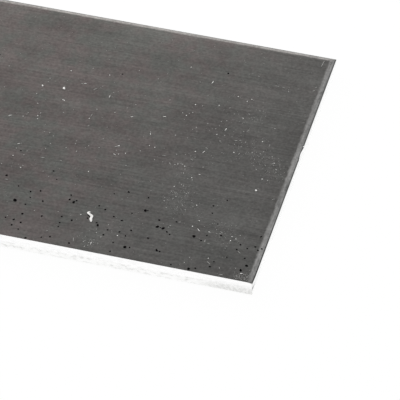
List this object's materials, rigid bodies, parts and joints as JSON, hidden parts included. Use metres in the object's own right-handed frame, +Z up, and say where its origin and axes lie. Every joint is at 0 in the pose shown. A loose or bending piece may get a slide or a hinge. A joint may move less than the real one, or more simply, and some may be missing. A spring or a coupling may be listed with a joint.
{
  "type": "aluminium sheet",
  "caption": "Flat rectangular aluminium sheet cut to size on a shear, with a dull grey mill-finish face, bright cut edges rounded over on one side, and loose specks on top.",
  "frame": {"origin": "under the middle of the sheet, on the face that it lies on", "axes": "+X along the length, +Y along the width, +Z up through the thickness"},
  "size_m": [0.2, 0.1, 0.005],
  "materials": {
    "mill_finish_aluminium": "dull mill finish"
  },
  "bodies": {
    "root": {"sheet": "mill_finish_aluminium"}
  },
  "joints": []
}
